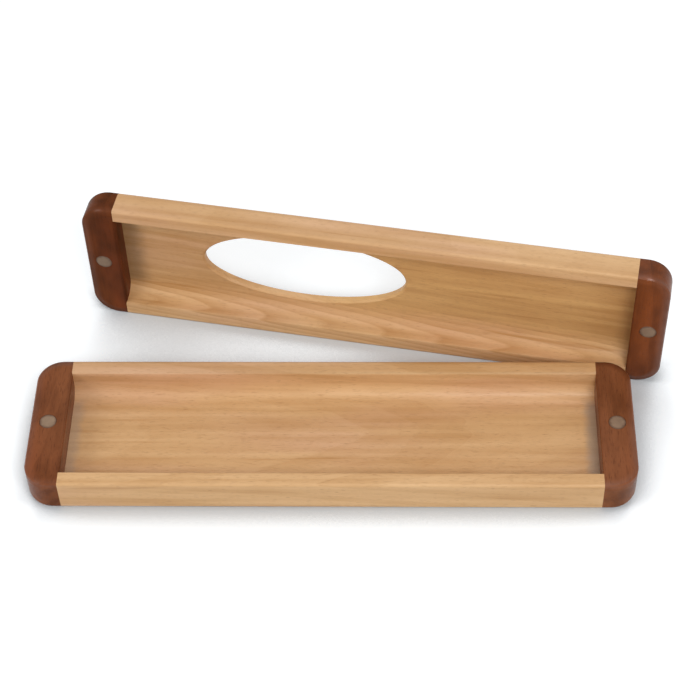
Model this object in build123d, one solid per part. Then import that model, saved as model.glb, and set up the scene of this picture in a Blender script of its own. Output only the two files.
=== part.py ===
"""A wooden pen case in two halves, held shut by four disc magnets.

The base lies flat with its hollow up. The lid has been lifted off and stands on one long side
behind the base, a little askew, with its hollow facing the front. Each half is a milled trough
of light wood between two solid end caps of dark wood, with a magnet let into each cap's rim.

Millimetres. X runs along the case, Y towards the back and Z up. The origin is the middle of
the base's underside.
"""
import os

from build123d import *

# Outside of the closed case, seen from above
case_length = 175.0
case_width = 45.5
corner_radius = 7.5

# Heights of the two halves, from the outer face to the rim where they meet
base_height = 12.5
lid_height = 9.5
edge_round = 3.2
rim_ease = 0.4

# Dark end caps, and the trough of light wood between them
cap_length = 10.0
wall_thickness = 4.6
cove_radius = 4.5
base_floor = 3.7
lid_panel = 2.8

# Oval window through the lid's panel
window_length = 62.0
window_width = 26.0
window_offset = -21.6
window_ease = 0.6

# Disc magnets, glued into blind pockets in the rims of the end caps
magnet_diameter = 5.0
magnet_thickness = 3.0
magnet_bevel = 0.1
magnet_clearance = 0.05
magnet_recess = 0.05

# Where the lid stands: how far to the right, how far askew, and the gap at its nearest corner
lid_shift = 11.0
lid_yaw = 9.8
lid_gap = 1.7

trough_length = case_length - 2 * cap_length
hollow_width = case_width - 2 * wall_thickness
cap_middle = (case_length - cap_length) / 2

# How a solid is placed on its origin
standing = (Align.CENTER, Align.CENTER, Align.MIN)
hanging = (Align.CENTER, Align.CENTER, Align.MAX)


def block(height):
    """The outside of one half as it comes off the router table, underside down."""
    outline = RectangleRounded(case_length, case_width, corner_radius)
    body = extrude(outline, amount=height)
    body = fillet(body.faces().sort_by(Axis.Z)[0].edges(), edge_round)
    return chamfer(body.faces().sort_by(Axis.Z)[-1].edges(), rim_ease)


def hollow(height, floor):
    """What the core-box cutter takes out between the end caps: a channel with coved corners."""
    half = hollow_width / 2
    flat = half - cove_radius
    cove_top = floor + cove_radius
    with BuildSketch(Plane.YZ) as section:
        with BuildLine():
            Polyline((-half, cove_top), (-half, height), (half, height), (half, cove_top))
            RadiusArc((flat, floor), (half, cove_top), -cove_radius)
            Line((-flat, floor), (flat, floor))
            RadiusArc((-half, cove_top), (-flat, floor), -cove_radius)
        make_face()
    return extrude(section.sketch, amount=trough_length / 2, both=True)


def mouth(height):
    """The sanded bevel round the hollow's mouth, on the walls and the end caps alike."""
    edge = Pos(0, 0, height - rim_ease) * Rectangle(trough_length, hollow_width)
    return extrude(edge, amount=rim_ease, taper=-45)


def trough(height, floor):
    """The light wood between the end caps."""
    between = Box(trough_length, case_width, height, align=standing)
    return (block(height) & between) - hollow(height, floor) - mouth(height)


def end_cap(height, side):
    """One dark end cap, side -1 on the left and 1 on the right, with its magnet pocket."""
    slab = Pos(side * cap_middle, 0, 0) * Box(cap_length, case_width, height, align=standing)
    pocket_radius = magnet_diameter / 2 + magnet_clearance
    pocket_depth = magnet_thickness + magnet_recess
    pocket = Pos(side * cap_middle, 0, height) * Cylinder(pocket_radius, pocket_depth, align=hanging)
    return (block(height) & slab) - pocket - mouth(height)


def magnet(height, side):
    """A disc that lies on the floor of its pocket, just below the rim."""
    disc = Cylinder(magnet_diameter / 2, magnet_thickness, align=hanging)
    disc = chamfer(disc.edges().filter_by(GeomType.CIRCLE), magnet_bevel)
    return Pos(side * cap_middle, 0, height - magnet_recess) * disc


def oval(spread=0.0):
    """The window's outline, wider all round by the spread."""
    return Ellipse(window_length / 2 + spread, window_width / 2 + spread)


def window():
    """The cutter for the lid's window, flared at both faces of the panel where its edges are sanded.

    It reaches above the panel, so a window wider than the panel's flat cuts into the coves as well.
    """
    straight = extrude(oval(), amount=lid_height)
    outer_flare = loft([oval(window_ease), Pos(0, 0, window_ease) * oval()])
    inner_start = Pos(0, 0, lid_panel - window_ease) * oval()
    inner_end = Pos(0, 0, lid_panel + window_ease) * oval(2 * window_ease)
    inner_flare = loft([inner_start, inner_end])
    return Pos(window_offset, 0, 0) * (straight + outer_flare + inner_flare)


def half_pieces(name, height, floor):
    """All the pieces of one half, lying with the underside at z = 0."""
    pieces = {name + "_trough": trough(height, floor)}
    for word, side in (("left", -1), ("right", 1)):
        pieces[name + "_end_" + word] = end_cap(height, side)
        pieces[name + "_magnet_" + word] = magnet(height, side)
    return pieces


# The lid's underside becomes its back: it stands on a long side with its rim to the front
along = Vector(1, 0, 0).rotate(Axis.Z, -lid_yaw)
away = Vector(0, 1, 0).rotate(Axis.Z, -lid_yaw)
lid_distance = case_width / 2 + lid_gap - along.Y * case_length / 2
rim_middle = Vector(lid_shift, lid_distance, case_width / 2)
lid_place = Plane(origin=rim_middle + away * lid_height, x_dir=along, z_dir=-away).location

parts = half_pieces("base", base_height, base_floor)
lid_pieces = half_pieces("lid", lid_height, lid_panel)
lid_pieces["lid_trough"] -= window()
for node, piece in lid_pieces.items():
    parts[node] = lid_place * piece

os.makedirs("parts", exist_ok=True)
for node, piece in parts.items():
    export_step(piece, os.path.join("parts", node + ".step"))
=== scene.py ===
"""A wooden pen case: the finish of its pieces, and the floor, light and camera round it.

The case has a base that lies flat and a lid that stands on its long side behind it. Each half is
a trough of light wood between two end caps of dark wood, with a disc magnet let into each cap.
The ten pieces come in at their place and keep their shape.

Metres, with the origin in the middle of the base's underside. The figure of the wood and what
happens along the edges and in the hollows are worked out in millimetres.
"""
import math

import bpy
from bpy.props import FloatProperty, FloatVectorProperty, PointerProperty
from mathutils import Matrix, Vector


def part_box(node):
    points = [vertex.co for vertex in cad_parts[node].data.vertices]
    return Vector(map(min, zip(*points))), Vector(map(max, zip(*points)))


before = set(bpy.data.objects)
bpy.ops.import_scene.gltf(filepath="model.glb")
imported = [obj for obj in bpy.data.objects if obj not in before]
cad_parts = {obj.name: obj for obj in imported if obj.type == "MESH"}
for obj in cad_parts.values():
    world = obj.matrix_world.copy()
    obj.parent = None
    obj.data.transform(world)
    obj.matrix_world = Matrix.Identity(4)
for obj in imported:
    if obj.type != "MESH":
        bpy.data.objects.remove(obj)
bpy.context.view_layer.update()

bl_info = {
    "name": "Wooden Pen Case",
    "version": (1, 0, 0),
    "blender": (4, 5, 0),
    "location": "View3D > Sidebar > Pen Case",
    "description": "Finishes a two-part wooden pen case and sets its stage",
    "category": "Object",
}

MILLIMETRE = 0.001

# The photograph's frame in pixels, and the width of the camera's sensor in millimetres
IMAGE_SIZE = 700
SENSOR_WIDTH = 36.0

# Outline and hollow of the case in millimetres, which both halves share
HALF_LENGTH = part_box("base_end_right")[1].x / MILLIMETRE
HALF_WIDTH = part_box("base_trough")[1].y / MILLIMETRE
CORNER_RADIUS = 7.5
WALL = 4.6
HOLLOW_HALF_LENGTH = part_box("base_trough")[1].x / MILLIMETRE
HOLLOW_HALF_WIDTH = HALF_WIDTH - WALL

# From a magnet's middle to the rim: half its thickness, and how far it lies below the rim
MAGNET_TO_RIM = (1.5 + 0.05) * MILLIMETRE

# Painted shade where the end caps shade a hollow's floor: the hollow's depth and how far the shade
# reaches from its ends, in millimetres, and how much of it there is at the left and the right
BASE_HOLLOW_SHADE = {"Depth": 8.8, "Reach": 4.6, "Left": 0.4, "Right": 0.6}
LID_HOLLOW_SHADE = {"Depth": 6.7, "Reach": 8.0, "Left": 0.46, "Right": 0.0}

# Where the piths lie that the boards were sawn from, in metres: the base's board in the case's
# frame, the lid's behind its rim and below its middle, and the caps' along their half and below
# the base's underside
BASE_PITH = (0.0, 0.002, -0.034)
LID_PITH_BEHIND = 0.003
LID_PITH_BELOW = 0.0308
CAP_PITH = 0.06
BASE_CAP_PITH_BELOW = 0.02

# Each piece's own wood: which stretch of the board it is, how much heartwood shows, how much
# deeper its tone is, and how dull its lacquer
TROUGHS = {
    "base": {"seed": 655.0},
    "lid": {"seed": 6.0, "heart": 0.85},
}
CAPS = {
    "base_left": {"seed": 0.0, "heart": 0.8, "tone": -0.2, "dull": 0.55},
    "base_right": {"seed": 520.0, "heart": 0.8, "tone": -0.42, "dull": 0.55},
    "lid_left": {"seed": 45.0, "tone": 0.32, "dull": 0.8},
    "lid_right": {"seed": 135.0, "tone": 0.08, "dull": 0.3},
}

# How much painted light brightens each magnet's plating, for how much lamp light it catches
MAGNET_PAINTED_LIGHT = {
    "base_magnet_left": 0.4,
    "base_magnet_right": 0.5,
    "lid_magnet_left": 0.25,
    "lid_magnet_right": 1.25,
}


def shade(name, description, default):
    """A linear colour that a user can change."""
    return FloatVectorProperty(
        name=name, description=description, default=default, size=3, min=0.0, max=1.0, subtype="COLOR"
    )


def amount(name, description, default, subtype="NONE"):
    """A number that a user can change."""
    return FloatProperty(name=name, description=description, default=default, subtype=subtype)


class LightWoodSettings(bpy.types.PropertyGroup):
    """The light wood of the two troughs."""

    pale: shade("Pale wood", "Colour between the growth rings", (0.70, 0.433, 0.213))
    deep: shade("Deep wood", "Colour of the rings' late wood", (0.49, 0.25, 0.088))
    blush: shade("Blush", "Warmer tint that comes and goes along the boards", (0.70, 0.412, 0.26))
    core: shade("Heartwood", "Golden tint nearer the heart", (0.71, 0.425, 0.165))
    line: shade("Pores", "Colour of the pores", (0.36, 0.17, 0.06))
    # Colours of the painted shade at the ends of each hollow, where the end caps shade its floor
    base_end_shade: shade("Base stain", "Finish gathered in the base's hollow", (0.33, 0.27, 0.22))
    lid_end_shade: shade("Lid stain", "Finish gathered in the lid's hollow", (0.13, 0.08, 0.04))
    ring_spacing: amount("Ring spacing", "Mean growth ring, in millimetres", 1.7)
    taper: amount("Taper", "How far the rings climb along the board", 0.09)
    wander: amount("Wander", "How far the rings stray, in millimetres", 1.0)
    figure: amount("Figure", "Contrast of the growth rings", 0.46)
    fibre: amount("Fibre", "Contrast of the fine fibres", 0.38)
    cloud: amount("Cloud", "Contrast of the broad streaks and clouds", 1.2)
    mottle: amount("Mottle", "Contrast of the soft patches", 0.3)
    mineral: amount("Mineral", "Strength of the sparse dark streaks", 0.4)
    far: amount("Far end", "Depth of the heartwood at the board's far end", 1.0)
    shine: amount("Shine", "Strength of the reflections", 0.28)
    glint: shade("Glint", "Tint of the reflections", (1.0, 0.95, 0.88))
    coat: amount("Coat", "Weight of the lacquer's own gloss", 0.1)
    polish: amount("Polish", "Gloss added where the edges are rubbed", 0.2)
    soften: amount("Soft edge", "Width of the softened edges, in millimetres", 1.0)
    gloss: amount("Roughness", "Mean roughness of the lacquer", 0.42, "FACTOR")


class DarkWoodSettings(bpy.types.PropertyGroup):
    """The dark wood of the four end caps."""

    pale: shade("Red wood", "Colour between the streaks", (0.228, 0.06, 0.016))
    deep: shade("Dark wood", "Colour of the streaks", (0.08, 0.023, 0.008))
    blush: shade("Blush", "Warmer tint that comes and goes along the wood", (0.20, 0.042, 0.018))
    core: shade("Heartwood", "Browner tint nearer the heart", (0.235, 0.085, 0.034))
    line: shade("Pores", "Colour of the pores", (0.05, 0.012, 0.005))
    ring_spacing: amount("Ring spacing", "Mean growth ring, in millimetres", 2.2)
    taper: amount("Taper", "How far the rings climb along the board", 0.05)
    wander: amount("Wander", "How far the rings stray, in millimetres", 3.0)
    figure: amount("Figure", "Contrast of the growth rings", 0.12)
    fibre: amount("Fibre", "Contrast of the fine fibres", 0.4)
    cloud: amount("Cloud", "Contrast of the broad streaks and clouds", 0.5)
    mottle: amount("Mottle", "Contrast of the soft patches", 1.6)
    mineral: amount("Mineral", "Strength of the sparse dark streaks", 0.05)
    far: amount("Far end", "Depth of the heartwood at the board's far end", 0.7)
    shine: amount("Shine", "Strength of the reflections", 0.15)
    glint: shade("Glint", "Tint of the reflections", (1.0, 0.55, 0.42))
    coat: amount("Coat", "Weight of the lacquer's own gloss", 0.08)
    polish: amount("Polish", "Gloss added where the edges are rubbed", 1.0)
    soften: amount("Soft edge", "Width of the softened edges, in millimetres", 2.5)
    gloss: amount("Roughness", "Mean roughness of the lacquer", 0.3, "FACTOR")


class MagnetSettings(bpy.types.PropertyGroup):
    """The four disc magnets."""

    plate: shade("Plating", "Colour of the dull plating under its lacquer", (0.27, 0.185, 0.125))
    edge: shade("Edge", "Colour of the lacquer round the plating", (0.11, 0.05, 0.026))
    gloss: amount("Roughness", "Mean roughness of the plating", 0.44, "FACTOR")


class StageSettings(bpy.types.PropertyGroup):
    """The floor, the light and the camera."""

    floor: shade("Floor", "Colour of the floor", (0.63, 0.665, 0.69))
    glow: amount("Glow", "What makes the open floor white for the camera", 0.52)
    far_glow: amount("Far glow", "The glow out of the lamps' reach", 0.72)
    sky: amount("Sky strength", "Strength of the pale light all round", 0.52)
    right: amount("Right lamp", "Power of the soft lamp on the right", 2.6, "POWER")
    left: amount("Left lamp", "Power of the soft lamp on the left", 1.3, "POWER")
    back: amount("Back lamp", "Power of the large lamp behind the case", 1.1, "POWER")
    azimuth: amount("Azimuth", "Camera's turn round the case", math.radians(-2.57), "ANGLE")
    elevation: amount("Elevation", "Camera's angle above the floor", math.radians(50.08), "ANGLE")
    roll: amount("Roll", "Camera's tilt to the side", math.radians(1.93), "ANGLE")
    distance: amount("Distance", "From the camera to its target", 0.59595, "DISTANCE")
    focal: amount("Focal length", "In pixels of the square picture", 1942.31)
    target: FloatVectorProperty(
        name="Target",
        description="Point on the floor in the middle of the picture",
        default=(0.00439, 0.03749, 0.0),
        subtype="TRANSLATION",
    )


def opaque(colour):
    """A colour for a node, which also takes how opaque it is."""
    return (*colour, 1.0)


def put(tree, socket, value):
    """Give a socket its value, or join it to another socket."""
    if isinstance(value, bpy.types.NodeSocket):
        tree.links.new(value, socket)
    else:
        socket.default_value = value


def add(tree, kind, inputs=None, **settings):
    """Add a node, make its settings, and give its inputs their values or join them to sockets."""
    node = tree.nodes.new(kind)
    for name, value in settings.items():
        setattr(node, name, value)
    for key, value in (inputs or {}).items():
        put(tree, node.inputs[key], value)
    return node


def calc(tree, operation, *values, clamp=False):
    """The result of one sum on numbers and sockets."""
    node = add(tree, "ShaderNodeMath", dict(enumerate(values)), operation=operation, use_clamp=clamp)
    return node.outputs["Value"]


def product(tree, *values):
    """Numbers and sockets multiplied together."""
    total, *rest = values
    for value in rest:
        total = calc(tree, "MULTIPLY", total, value)
    return total


def noise(tree, vector, stretch, detail, roughness=0.5):
    """Cloudy noise around 0.5, with the position first scaled by stretch along each axis."""
    scaled = add(tree, "ShaderNodeVectorMath", {0: vector, 1: stretch}, operation="MULTIPLY")
    inputs = {"Vector": scaled.outputs["Vector"], "Scale": 1.0, "Detail": detail, "Roughness": roughness}
    return add(tree, "ShaderNodeTexNoise", inputs).outputs["Fac"]


def ramp_between(tree, value, start, stop, first=0.0, last=1.0):
    """A smooth change from first to last while the value goes from start to stop."""
    inputs = {"Value": value, "From Min": start, "From Max": stop, "To Min": first, "To Max": last}
    return add(tree, "ShaderNodeMapRange", inputs, interpolation_type="SMOOTHSTEP").outputs["Result"]


def tone_ramp(tree, value, stops):
    """Shades of grey along a value, eased from each stop to the next."""
    node = add(tree, "ShaderNodeValToRGB", {"Fac": value})
    node.color_ramp.interpolation = "EASE"
    elements = node.color_ramp.elements
    for position, _ in stops[1:-1]:
        elements.new(position)
    for element, (position, tone) in zip(elements, stops):
        element.position = position
        element.color = (tone, tone, tone, 1.0)
    return node.outputs["Color"]


def blend(tree, factor, first, second):
    """Two colours blended by a factor."""
    node = add(tree, "ShaderNodeMix", data_type="RGBA")
    for key, value in (("Factor", factor), (6, first), (7, second)):
        put(tree, node.inputs[key], value)
    return node.outputs[2]


def new_group(name, inputs, outputs):
    """An empty shader node group with named sockets, and the sockets inside it.

    An input that the materials leave as it is has its value beside its name.
    """
    group = bpy.data.node_groups.new(name, "ShaderNodeTree")
    for socket_name, kind, *default in inputs:
        socket = group.interface.new_socket(socket_name, in_out="INPUT", socket_type="NodeSocket" + kind)
        if default:
            socket.default_value = default[0]
    for socket_name, kind in outputs:
        group.interface.new_socket(socket_name, in_out="OUTPUT", socket_type="NodeSocket" + kind)
    return group, group.nodes.new("NodeGroupInput").outputs, group.nodes.new("NodeGroupOutput").inputs


# What a wood's settings hold for its board: colours, and amounts
BOARD_SHADES = ("Pale", "Deep", "Blush", "Core", "Line")
BOARD_AMOUNTS = ("Ring Spacing", "Taper", "Wander", "Figure", "Fibre", "Cloud", "Mottle", "Mineral", "Far")

# Clouds in the wood: how often they come per millimetre along and across the grain, their detail
# and their roughness
STRAY = ((0.018, 0.07, 0.07), 2.0, 0.45)
BLOTCH = ((0.012, 0.09, 0.09), 3.0, 0.5)
STREAK = ((0.012, 0.34, 0.34), 2.0, 0.4)
PATCH = ((0.07, 0.16, 0.16), 2.0, 0.5)
MINERAL = ((0.022, 0.5, 0.5), 2.0, 0.45)
FIBRE = ((0.04, 1.3, 1.3), 4.0, 0.6)
HAIR = ((0.25, 7.0, 7.0), 2.0, 0.5)
PORE = ((0.5, 9.0, 9.0), 0.0, 0.5)
WARMTH = ((0.011, 0.06, 0.06), 2.0, 0.5)

# Between which values of their clouds the streaks, pores and warmth come in, and the most warmth
MINERAL_SHOWS = (0.62, 0.76)
PORES_SHOW = (0.66, 0.8)
WARMTH_SHOWS = (0.42, 0.64)
WARMTH_MOST = 0.6

# How dark a growth ring is across its width, its middle tone, and how much the rings differ in tone
RING_PROFILE = ((0.0, 0.5), (0.06, 1.0), (0.4, 0.55), (0.75, 0.1), (0.94, 0.0), (1.0, 0.5))
RING_MIDDLE = 0.45
RING_SPREAD = 0.24

# A cloud strays about a quarter to each side, so the wander is made this many times as wide
STRAY_GAIN = 4.0

# Distances from the pith, in millimetres, where the rings' figure fades and where the heartwood
# starts and stops, and what is left of the figure further out
FIGURE_FADE = (13.0, 24.0)
HEART_START = (13.0, 22.0)
HEART_STOP = (50.0, 38.0)
FIGURE_LEFT = 0.08

# Stretches along the grain, in millimetres, where the heartwood turns golden and where it changes
# to its far end's depth, and what the heart and the gold add to the depth of colour up to there
GOLDEN_STRETCH = (-50.0, 0.0)
FAR_STRETCH = (64.0, 82.0)
HEART_DEPTH = 0.42
GOLDEN_DEPTH = -0.4

# The wood's depth of colour before its figure is added, from 0 for pale to 1 for deep
MIDDLE_DEPTH = 0.38

# Shares of the finest fibres in the contrast and of the pores in the colour, how much the fibres
# change the roughness, and how deep they are beside a pore
HAIR_SHARE = 0.4
PORE_SHARE = 0.5
ROUGHNESS_SPREAD = 0.12
FIBRE_DEPTH = 0.6


def board_group():
    """Figure of a board: growth rings round a pith, fibres, pores and slow changes of tone.

    Its position is in millimetres, with X along the grain and the pith at the origin.
    """
    group, given, result = new_group(
        "Board",
        [
            ("Position", "Vector"),
            *((word, "Color") for word in BOARD_SHADES),
            *((word, "Float") for word in BOARD_AMOUNTS),
            ("Heart", "Float"),
            ("Tone", "Float"),
            ("Roughness", "Float"),
        ],
        [("Color", "Color"), ("Roughness", "Float"), ("Height", "Float")],
    )
    where = given["Position"]
    parts = add(group, "ShaderNodeSeparateXYZ", {"Vector": where}).outputs
    along = parts["X"]
    squares = [calc(group, "POWER", parts[axis], 2.0) for axis in "YZ"]
    radius = calc(group, "SQRT", calc(group, "ADD", *squares))
    figure, ring_tone = growth_rings(group, given, along, radius)

    inner = ramp_between(group, radius, *HEART_START)
    outer = ramp_between(group, radius, *HEART_STOP)
    core = product(group, inner, outer, given["Heart"])
    golden = ramp_between(group, along, *GOLDEN_STRETCH)
    far = ramp_between(group, along, *FAR_STRETCH, HEART_DEPTH, given["Far"])
    depth = calc(group, "MULTIPLY_ADD", core, calc(group, "MULTIPLY_ADD", golden, GOLDEN_DEPTH, far), figure)
    depth = calc(group, "ADD", depth, given["Tone"])
    depth = calc(group, "ADD", depth, ring_tone)

    fibre = noise(group, where, *FIBRE)
    clouds = calc(group, "ADD", noise(group, where, *BLOTCH), noise(group, where, *STREAK))
    mineral = ramp_between(group, noise(group, where, *MINERAL), *MINERAL_SHOWS)
    fine = calc(group, "SUBTRACT", fibre, 0.5 + HAIR_SHARE / 2)
    fine = calc(group, "MULTIPLY_ADD", noise(group, where, *HAIR), HAIR_SHARE, fine)
    for change, strength in (
        (calc(group, "SUBTRACT", clouds, 1.0), given["Cloud"]),
        (calc(group, "SUBTRACT", noise(group, where, *PATCH), 0.5), given["Mottle"]),
        (fine, given["Fibre"]),
        (mineral, given["Mineral"]),
    ):
        depth = calc(group, "MULTIPLY_ADD", change, strength, depth)
    depth = calc(group, "ADD", depth, MIDDLE_DEPTH, clamp=True)

    warmth = ramp_between(group, noise(group, where, *WARMTH), *WARMTH_SHOWS, 0.0, WARMTH_MOST)
    pores = ramp_between(group, noise(group, where, *PORE), *PORES_SHOW)
    colour = blend(group, warmth, given["Pale"], given["Blush"])
    colour = blend(group, calc(group, "MULTIPLY", core, golden), colour, given["Core"])
    colour = blend(group, depth, colour, given["Deep"])
    colour = blend(group, calc(group, "MULTIPLY", pores, PORE_SHARE), colour, given["Line"])
    put(group, result["Color"], colour)
    smoothest = calc(group, "SUBTRACT", given["Roughness"], ROUGHNESS_SPREAD / 2)
    put(group, result["Roughness"], calc(group, "MULTIPLY_ADD", fibre, ROUGHNESS_SPREAD, smoothest))
    sunk = calc(group, "MULTIPLY", pores, -1.0)
    put(group, result["Height"], calc(group, "MULTIPLY_ADD", fibre, -FIBRE_DEPTH, sunk))
    return group


def growth_rings(group, given, along, radius):
    """How the rings change the wood's depth of colour, and each ring's own tone."""
    climb = calc(group, "MULTIPLY_ADD", along, given["Taper"], radius)
    stray = calc(group, "SUBTRACT", noise(group, given["Position"], *STRAY), 0.5)
    growth = calc(group, "MULTIPLY_ADD", stray, calc(group, "MULTIPLY", given["Wander"], STRAY_GAIN), climb)
    rings = calc(group, "DIVIDE", growth, given["Ring Spacing"])
    late = tone_ramp(group, calc(group, "FRACT", rings), RING_PROFILE)
    strength = ramp_between(group, radius, *FIGURE_FADE, 1.0, FIGURE_LEFT)
    strength = calc(group, "MULTIPLY", strength, given["Figure"])
    figure = calc(group, "MULTIPLY", calc(group, "SUBTRACT", late, RING_MIDDLE), strength)
    number = calc(group, "FLOOR", rings)
    tone = add(group, "ShaderNodeTexWhiteNoise", {"W": number}, noise_dimensions="1D").outputs["Value"]
    return figure, calc(group, "MULTIPLY_ADD", tone, RING_SPREAD, -RING_SPREAD / 2)


# Wear along an edge: how many softened widths from the edge it starts, how many millimetres from
# the edge it is full, and what makes it uneven
WEAR_START = -1.2
WEAR_FULL = -0.2
WEAR_CLOUD = ((0.08, 0.3, 0.3), 3.0)
WEAR_GAIN = 1.3


def edge_group():
    """Softened and rubbed edges where the rim meets the outside of a half.

    Its position is in millimetres in the half's own frame, with Z out of the rim.
    """
    group, given, result = new_group(
        "Soft Edge",
        [
            ("Position", "Vector"),
            ("Half Length", "Float", HALF_LENGTH),
            ("Half Width", "Float", HALF_WIDTH),
            ("Corner Radius", "Float", CORNER_RADIUS),
            ("Softness", "Float"),
        ],
        [("Wear", "Float"), ("Height", "Float")],
    )
    parts = add(group, "ShaderNodeSeparateXYZ", {"Vector": given["Position"]}).outputs
    past = []
    for axis, size in (("X", "Half Length"), ("Y", "Half Width")):
        straight = calc(group, "SUBTRACT", given[size], given["Corner Radius"])
        past.append(calc(group, "SUBTRACT", calc(group, "ABSOLUTE", parts[axis]), straight))
    beyond = {axis: calc(group, "MAXIMUM", value, 0.0) for axis, value in zip("XY", past)}
    corner = add(group, "ShaderNodeCombineXYZ", beyond).outputs["Vector"]
    reach = add(group, "ShaderNodeVectorMath", {0: corner}, operation="LENGTH").outputs["Value"]
    within = calc(group, "MINIMUM", calc(group, "MAXIMUM", *past), 0.0)
    outward = calc(group, "SUBTRACT", calc(group, "ADD", reach, within), given["Corner Radius"])

    fall = []
    for distance in (outward, parts["Z"]):
        near = calc(group, "MAXIMUM", calc(group, "ADD", distance, given["Softness"]), 0.0)
        fall.append(calc(group, "POWER", near, 2.0))
    twice = calc(group, "MULTIPLY", given["Softness"], -2.0)
    put(group, result["Height"], calc(group, "DIVIDE", calc(group, "ADD", *fall), twice))

    from_edge = calc(group, "ADD", outward, parts["Z"])
    start = calc(group, "MULTIPLY", given["Softness"], WEAR_START)
    worn = ramp_between(group, from_edge, start, WEAR_FULL)
    uneven = noise(group, given["Position"], *WEAR_CLOUD)
    rubbed = calc(group, "MULTIPLY", uneven, WEAR_GAIN, clamp=True)
    put(group, result["Wear"], calc(group, "MULTIPLY", worn, rubbed))
    return group


# Painted shade at a hollow's ends, where the end caps shade its floor, in millimetres: how ragged
# its edge is, between which heights above the floor it fades, below which it stops, and how it fades
# towards the walls
HOLLOW_SHADE_CLOUD = ((0.3, 0.3, 0.3), 3.0)
HOLLOW_SHADE_RAGGED = 3.0
HOLLOW_SHADE_HEIGHT = (4.5, 0.5)
HOLLOW_SHADE_BOTTOM = (-0.3, -0.1)
HOLLOW_SHADE_FROM_WALL = (2.0, 6.0)

# The share of its reach that it fills evenly, from a hollow's end
HOLLOW_SHADE_EVEN = 0.3


def hollow_shade_group():
    """Painted shade where the end caps shade a hollow: the ends of its floor, away from its walls.

    Its position is in millimetres in the half's own frame, with Z out of the rim.
    """
    group, given, result = new_group(
        "Hollow Corner",
        [
            ("Position", "Vector"),
            ("Half Length", "Float", HOLLOW_HALF_LENGTH),
            ("Half Width", "Float", HOLLOW_HALF_WIDTH),
            ("Depth", "Float"),
            ("Reach", "Float"),
            ("Left", "Float"),
            ("Right", "Float"),
        ],
        [("Mask", "Float")],
    )
    parts = add(group, "ShaderNodeSeparateXYZ", {"Vector": given["Position"]}).outputs
    to_end = calc(group, "SUBTRACT", given["Half Length"], calc(group, "ABSOLUTE", parts["X"]))
    to_wall = calc(group, "SUBTRACT", given["Half Width"], calc(group, "ABSOLUTE", parts["Y"]))
    above_floor = calc(group, "ADD", parts["Z"], given["Depth"])
    uneven = noise(group, given["Position"], *HOLLOW_SHADE_CLOUD)
    stray = calc(group, "MULTIPLY_ADD", uneven, HOLLOW_SHADE_RAGGED, -HOLLOW_SHADE_RAGGED / 2)
    ragged = calc(group, "ADD", to_end, stray)
    even = calc(group, "MULTIPLY", given["Reach"], HOLLOW_SHADE_EVEN)
    on_right = calc(group, "GREATER_THAN", parts["X"], 0.0)
    span = calc(group, "SUBTRACT", given["Right"], given["Left"])
    mask = product(
        group,
        ramp_between(group, ragged, given["Reach"], even),
        calc(group, "MULTIPLY_ADD", on_right, span, given["Left"]),
        ramp_between(group, above_floor, *HOLLOW_SHADE_HEIGHT),
        ramp_between(group, above_floor, *HOLLOW_SHADE_BOTTOM),
        ramp_between(group, to_wall, *HOLLOW_SHADE_FROM_WALL),
    )
    put(group, result["Mask"], mask)
    return group


# The magnets' plating, in metres: its clouds, how ragged the pooled lacquer's edge is, and between
# which distances from the disc's middle the lacquer comes in
PLATE_CLOUD = ((700.0, 700.0, 700.0), 3.0)
POOL_RAGGED = 0.8 * MILLIMETRE
POOL = (2.1 * MILLIMETRE, 3.0 * MILLIMETRE)

# How dim the plating's clouds are, how metallic it is under the lacquer, and how its roughness varies
PLATE_DIM = 0.8
LACQUERED_METALLIC = 0.4
PLATE_ROUGHNESS_SPREAD = 0.2


def plating_group():
    """Dull plating on a disc, clouded, with lacquer that has pooled along the disc's edge.

    Its position and the disc's middle are in metres.
    """
    group, given, result = new_group(
        "Dull Plating",
        [
            ("Position", "Vector"),
            ("Middle", "Vector"),
            ("Plate", "Color"),
            ("Edge", "Color"),
            ("Roughness", "Float"),
        ],
        [("Color", "Color"), ("Metallic", "Float"), ("Roughness", "Float")],
    )
    ends = {0: given["Position"], 1: given["Middle"]}
    away = add(group, "ShaderNodeVectorMath", ends, operation="DISTANCE").outputs["Value"]
    cloud = noise(group, given["Position"], *PLATE_CLOUD)
    ragged = calc(group, "MULTIPLY_ADD", calc(group, "SUBTRACT", cloud, 0.5), POOL_RAGGED, away)
    pooled = ramp_between(group, ragged, *POOL)
    dim = add(group, "ShaderNodeVectorMath", {0: given["Plate"], "Scale": PLATE_DIM}, operation="SCALE")
    colour = blend(group, cloud, given["Plate"], dim.outputs["Vector"])
    put(group, result["Color"], blend(group, pooled, colour, given["Edge"]))
    metallic = calc(group, "MULTIPLY_ADD", pooled, LACQUERED_METALLIC - 1.0, 1.0)
    put(group, result["Metallic"], metallic)
    smoothest = calc(group, "SUBTRACT", given["Roughness"], PLATE_ROUGHNESS_SPREAD / 2)
    put(group, result["Roughness"], calc(group, "MULTIPLY_ADD", cloud, PLATE_ROUGHNESS_SPREAD, smoothest))
    return group


GROUP_BUILDERS = {
    "Board": board_group,
    "Soft Edge": edge_group,
    "Hollow Corner": hollow_shade_group,
    "Dull Plating": plating_group,
}


def place_group(tree, name, inputs):
    """Put a group in a material with its values, and build it first if it isn't there yet."""
    group = bpy.data.node_groups.get(name) or GROUP_BUILDERS[name]()
    return add(tree, "ShaderNodeGroup", inputs, node_tree=group).outputs


def new_tree(owner):
    """The empty node tree of a new material or world."""
    owner.use_nodes = True
    owner.node_tree.nodes.clear()
    return owner.node_tree


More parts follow.
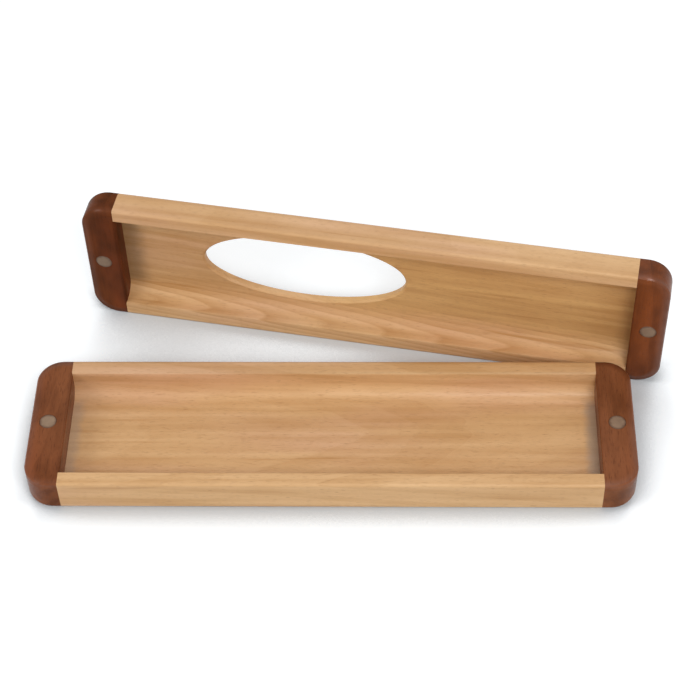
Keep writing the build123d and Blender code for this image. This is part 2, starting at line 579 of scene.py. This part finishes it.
def placed(tree, placement):
    """The position in millimetres, in the frame of a placement."""
    inputs = {
        "Vector": add(tree, "ShaderNodeTexCoord").outputs["Object"],
        "Location": placement.translation,
        "Rotation": placement.to_euler(),
        "Scale": (MILLIMETRE,) * 3,
    }
    return add(tree, "ShaderNodeMapping", inputs, vector_type="TEXTURE").outputs["Vector"]


# How much lighter the wood is where its edges are rubbed, and how far that shows in its colour
RUBBED_GAIN = 1.1
RUBBED_SHARE = 0.3

# The lacquer's own roughness, and how deep the pores are in millimetres
COAT_ROUGHNESS = 0.2
PORE_DEPTH = 0.025


def wood_material(name, settings, board, rim, seed, heart=0.0, tone=0.0, dull=0.0, hollow=None, end_shade_tint=None):
    """A lacquered wood.

    The board's axes are along its grain, across it, and up from its pith, and the seed moves the
    piece along the grain to another stretch of wood. The rim's are along the half, across it, and
    out of it. The heart is how much of the heartwood shows, the tone deepens the colour, and what
    is dull has less gloss. In a hollow, shade is painted at the ends where the end caps shade its
    floor, and end_shade_tint is the colour of that painted shade.
    """
    material = bpy.data.materials.new(name)
    tree = new_tree(material)
    shift = {0: placed(tree, board), 1: (seed, 0.0, 0.0)}
    inputs = {
        "Position": add(tree, "ShaderNodeVectorMath", shift, operation="ADD").outputs["Vector"],
        "Heart": heart,
        "Tone": tone,
        "Roughness": settings.gloss,
    }
    for socket in BOARD_SHADES:
        inputs[socket] = opaque(getattr(settings, socket.lower()))
    for socket in BOARD_AMOUNTS:
        inputs[socket] = getattr(settings, socket.lower().replace(" ", "_"))
    wood = place_group(tree, "Board", inputs)

    place = placed(tree, rim)
    edge = place_group(tree, "Soft Edge", {"Position": place, "Softness": settings.soften})
    rubbed = opaque(min(1.0, channel * RUBBED_GAIN) for channel in settings.pale)
    colour = blend(tree, calc(tree, "MULTIPLY", edge["Wear"], RUBBED_SHARE), wood["Color"], rubbed)
    if hollow:
        # Painted shade at the hollow's ends, where the end caps shade its floor
        shaded_ends = place_group(tree, "Hollow Corner", {"Position": place, **hollow})
        colour = blend(tree, shaded_ends["Mask"], colour, opaque(end_shade_tint))
    polish = calc(tree, "MULTIPLY", edge["Wear"], settings.polish)
    coat = calc(tree, "ADD", polish, settings.coat)
    height = calc(tree, "MULTIPLY_ADD", wood["Height"], PORE_DEPTH, edge["Height"])
    bump = add(tree, "ShaderNodeBump", {"Height": height, "Strength": 1.0, "Distance": MILLIMETRE})
    inputs = {
        "Base Color": colour,
        "Roughness": wood["Roughness"],
        "Normal": bump.outputs["Normal"],
        "Specular IOR Level": settings.shine * (1.0 - dull),
        "Specular Tint": opaque(settings.glint),
        "Coat Weight": calc(tree, "MULTIPLY", coat, 1.0 - dull),
        "Coat Roughness": COAT_ROUGHNESS,
    }
    shader = add(tree, "ShaderNodeBsdfPrincipled", inputs)
    add(tree, "ShaderNodeOutputMaterial", {"Surface": shader.outputs["BSDF"]})
    return material


# How bright the plating is without painted light, and what the painted light adds
PLATE_BRIGHTNESS = 0.8
PAINTED_LIGHT_GAIN = 0.6


def magnet_material(node, settings, brightening):
    """The dull plating of one magnet, made brighter by painted light."""
    material = bpy.data.materials.new(node)
    tree = new_tree(material)
    brightness = PLATE_BRIGHTNESS + PAINTED_LIGHT_GAIN * brightening
    inputs = {
        "Position": add(tree, "ShaderNodeTexCoord").outputs["Object"],
        "Middle": sum(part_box(node), Vector()) / 2,
        "Plate": opaque(min(1.0, channel * brightness) for channel in settings.plate),
        "Edge": opaque(settings.edge),
        "Roughness": settings.gloss,
    }
    plating = place_group(tree, "Dull Plating", inputs)
    inputs = {
        "Base Color": plating["Color"],
        "Metallic": plating["Metallic"],
        "Roughness": plating["Roughness"],
    }
    shader = add(tree, "ShaderNodeBsdfPrincipled", inputs)
    add(tree, "ShaderNodeOutputMaterial", {"Surface": shader.outputs["BSDF"]})
    return material


def paint(node, material):
    """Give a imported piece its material."""
    for material_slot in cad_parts[node].material_slots:
        material_slot.material = material


def board_at(pith, grain, up):
    """A board's placement: where its pith is, which way its grain runs, and which way is up from it."""
    grain = Vector(grain).normalized()
    up = Vector(up).normalized()
    across = up.cross(grain)
    return Matrix.Translation(pith) @ Matrix((grain, across, up)).transposed().to_4x4()


def base_rim():
    """The base's own frame, in the middle of its rim with Z out of it."""
    return board_at((0.0, 0.0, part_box("base_trough")[1][2]), (1, 0, 0), (0, 0, 1))


def lid_axes():
    """The middle of the lid's rim, and its axes: along it, across it, and out of its rim."""
    left = sum(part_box("lid_magnet_left"), Vector()) / 2
    right = sum(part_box("lid_magnet_right"), Vector()) / 2
    along = (right - left).normalized()
    across = Vector((0.0, 0.0, 1.0))
    to_rim = along.cross(across)
    return (left + right) / 2 + to_rim * MAGNET_TO_RIM, along, across, to_rim


class PENCASE_OT_finish_troughs(bpy.types.Operator):
    """Give both troughs their light wood"""

    bl_idname = "pen_case.finish_troughs"
    bl_label = "Finish the troughs"

    def execute(self, context):
        settings = context.scene.pen_case_light_wood
        middle, along, across, to_rim = lid_axes()
        base_board = board_at(BASE_PITH, (1, 0, 0), (0, 0, 1))
        lid_pith = middle - to_rim * LID_PITH_BEHIND - across * LID_PITH_BELOW
        lid_board = board_at(lid_pith, along, across)
        lid_rim = board_at(middle, along, to_rim)
        # Each trough with the painted shade at its hollow's ends
        for half, board, rim, hollow, end_shade_tint in (
            ("base", base_board, base_rim(), BASE_HOLLOW_SHADE, settings.base_end_shade),
            ("lid", lid_board, lid_rim, LID_HOLLOW_SHADE, settings.lid_end_shade),
        ):
            name = "light_wood_" + half
            wood = wood_material(name, settings, board, rim, hollow=hollow, end_shade_tint=end_shade_tint, **TROUGHS[half])
            paint(half + "_trough", wood)
        return {"FINISHED"}


class PENCASE_OT_finish_end_caps(bpy.types.Operator):
    """Give the four end caps their dark wood"""

    bl_idname = "pen_case.finish_end_caps"
    bl_label = "Finish the end caps"

    def execute(self, context):
        settings = context.scene.pen_case_dark_wood
        middle, along, across, to_rim = lid_axes()
        lid_rim = board_at(middle, along, to_rim)
        for side, word in ((-1, "left"), (1, "right")):
            base_pith = (side * CAP_PITH, 0.0, -BASE_CAP_PITH_BELOW)
            lid_pith = middle + along * (side * CAP_PITH)
            for half, board, rim in (
                ("base", board_at(base_pith, (0, 1, 0), (side, 0, 0)), base_rim()),
                ("lid", board_at(lid_pith, across, along * side), lid_rim),
            ):
                cap = half + "_" + word
                wood = wood_material("dark_wood_" + cap, settings, board, rim, **CAPS[cap])
                paint(half + "_end_" + word, wood)
        return {"FINISHED"}


class PENCASE_OT_finish_magnets(bpy.types.Operator):
    """Give the four magnets their dull plating"""

    bl_idname = "pen_case.finish_magnets"
    bl_label = "Finish the magnets"

    def execute(self, context):
        settings = context.scene.pen_case_magnet
        # Each magnet's plating with its painted light
        for node, brightening in MAGNET_PAINTED_LIGHT.items():
            paint(node, magnet_material(node, settings, brightening))
        return {"FINISHED"}


# Half the floor's width, how near a piece has to be to shade it, how open a shaded and an open
# place are, and between which distances from the middle the lamps' light gives out
FLOOR_HALF = 3.0
SHADE_REACH = 0.06
OPENNESS = (0.54, 0.78)
LAMPLIT = (0.25, 0.9)

# The lamps' widths and places, and the point that they shine at
LAMPS = {
    "right": (0.28, (0.18, -0.46, 0.6)),
    "left": (0.28, (-0.6, -0.35, 0.5)),
    "back": (0.6, (0.15, 0.7, 0.65)),
}
LAMP_AIM = (0.0, 0.03, 0.0)

# Colour of the floor's glow and of the background
WHITE = (1.0, 1.0, 1.0)

# The nearest that the camera sees
CLIP_START = 0.01


class PENCASE_OT_set_stage(bpy.types.Operator):
    """Lay the floor, hang the light and place the camera"""

    bl_idname = "pen_case.set_stage"
    bl_label = "Set the stage"

    def execute(self, context):
        settings = context.scene.pen_case_stage
        lay_floor(context.scene, settings)
        light_world(context.scene, settings)
        for word, (width, place) in LAMPS.items():
            hang_lamp(context.scene, word + "_lamp", width, getattr(settings, word), place)
        place_camera(context.scene, settings)
        context.scene.view_settings.view_transform = "Standard"
        return {"FINISHED"}


def lay_floor(scene, settings):
    """A plain pale floor that keeps the case's shadow."""
    mesh = bpy.data.meshes.new("floor")
    corners = [(x * FLOOR_HALF, y * FLOOR_HALF, 0.0) for x, y in ((-1, -1), (1, -1), (1, 1), (-1, 1))]
    mesh.from_pydata(corners, [], [(0, 1, 2, 3)])
    mesh.materials.append(floor_material(settings))
    floor = bpy.data.objects.new("floor", mesh)
    scene.collection.objects.link(floor)


def floor_material(settings):
    """A matt floor that looks white where it is open, and keeps its shade close to the case."""
    material = bpy.data.materials.new("floor")
    tree = new_tree(material)
    path = add(tree, "ShaderNodeLightPath").outputs
    seen = calc(tree, "MAXIMUM", path["Is Camera Ray"], path["Is Glossy Ray"])
    openness = add(tree, "ShaderNodeAmbientOcclusion", {"Distance": SHADE_REACH}, samples=8).outputs["AO"]
    openness = ramp_between(tree, openness, *OPENNESS)
    where = add(tree, "ShaderNodeTexCoord").outputs["Object"]
    away = add(tree, "ShaderNodeVectorMath", {0: where}, operation="LENGTH").outputs["Value"]
    strength = ramp_between(tree, away, *LAMPLIT, settings.glow, settings.far_glow)
    strength = product(tree, seen, openness, strength)
    glow = add(tree, "ShaderNodeEmission", {"Color": opaque(WHITE), "Strength": strength})
    matt = add(tree, "ShaderNodeBsdfDiffuse", {"Color": opaque(settings.floor)})
    both = add(tree, "ShaderNodeAddShader", {0: matt.outputs["BSDF"], 1: glow.outputs["Emission"]})
    add(tree, "ShaderNodeOutputMaterial", {"Surface": both.outputs["Shader"]})
    return material


def light_world(scene, settings):
    """Pale light from all round, and a white background for the camera and for gloss."""
    scene.world = bpy.data.worlds.new("world")
    tree = new_tree(scene.world)
    path = add(tree, "ShaderNodeLightPath").outputs
    seen = calc(tree, "MAXIMUM", path["Is Camera Ray"], path["Is Glossy Ray"])
    seen = calc(tree, "MAXIMUM", seen, path["Is Transmission Ray"])
    strength = add(tree, "ShaderNodeMapRange", {"Value": seen, "To Min": settings.sky, "To Max": 1.0})
    inputs = {"Color": opaque(WHITE), "Strength": strength.outputs["Result"]}
    background = add(tree, "ShaderNodeBackground", inputs)
    add(tree, "ShaderNodeOutputWorld", {"Surface": background.outputs["Background"]})


def hang_lamp(scene, name, width, power, place):
    """A square soft lamp that shines on the case."""
    lamp = bpy.data.lights.new(name, "AREA")
    lamp.size = width
    lamp.energy = power
    holder = bpy.data.objects.new(name, lamp)
    scene.collection.objects.link(holder)
    holder.location = place
    aim = Vector(LAMP_AIM) - holder.location
    holder.rotation_euler = aim.to_track_quat("-Z", "Y").to_euler()


def place_camera(scene, settings):
    """The camera at the photograph's viewing angle."""
    azimuth, elevation, roll = settings.azimuth, settings.elevation, settings.roll
    ahead = Vector((math.sin(azimuth), math.cos(azimuth), 0.0))
    forward = ahead * math.cos(elevation) - Vector((0.0, 0.0, math.sin(elevation)))
    level = Vector((math.cos(azimuth), -math.sin(azimuth), 0.0))
    sink = forward.cross(level)
    right = level * math.cos(roll) + sink * math.sin(roll)
    down = sink * math.cos(roll) - level * math.sin(roll)
    data = bpy.data.cameras.new("camera")
    data.sensor_width = SENSOR_WIDTH
    data.lens = settings.focal / IMAGE_SIZE * SENSOR_WIDTH
    data.clip_start = CLIP_START
    camera = bpy.data.objects.new("camera", data)
    scene.collection.objects.link(camera)
    turn = Matrix((right, -down, -forward)).transposed().to_4x4()
    camera.matrix_world = Matrix.Translation(Vector(settings.target) - forward * settings.distance) @ turn
    scene.camera = camera


class PENCASE_PT_sidebar(bpy.types.Panel):
    """The steps that finish the pen case"""

    bl_label = "Pen Case"
    bl_space_type = "VIEW_3D"
    bl_region_type = "UI"
    bl_category = "Pen Case"

    def draw(self, context):
        for operator in OPERATORS:
            self.layout.operator(operator.bl_idname)


SETTINGS = {
    "pen_case_light_wood": LightWoodSettings,
    "pen_case_dark_wood": DarkWoodSettings,
    "pen_case_magnet": MagnetSettings,
    "pen_case_stage": StageSettings,
}
OPERATORS = (
    PENCASE_OT_finish_troughs,
    PENCASE_OT_finish_end_caps,
    PENCASE_OT_finish_magnets,
    PENCASE_OT_set_stage,
)


def register():
    """Make the settings, the operators and the panel known."""
    for name, settings in SETTINGS.items():
        bpy.utils.register_class(settings)
        setattr(bpy.types.Scene, name, PointerProperty(type=settings))
    for operator in OPERATORS:
        bpy.utils.register_class(operator)
    bpy.utils.register_class(PENCASE_PT_sidebar)


def unregister():
    """Take the panel, the operators and the settings out again."""
    bpy.utils.unregister_class(PENCASE_PT_sidebar)
    for operator in reversed(OPERATORS):
        bpy.utils.unregister_class(operator)
    for name, settings in SETTINGS.items():
        delattr(bpy.types.Scene, name)
        bpy.utils.unregister_class(settings)


def main():
    """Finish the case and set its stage."""
    register()
    bpy.ops.pen_case.finish_troughs()
    bpy.ops.pen_case.finish_end_caps()
    bpy.ops.pen_case.finish_magnets()
    bpy.ops.pen_case.set_stage()


if __name__ == "__main__":
    main()
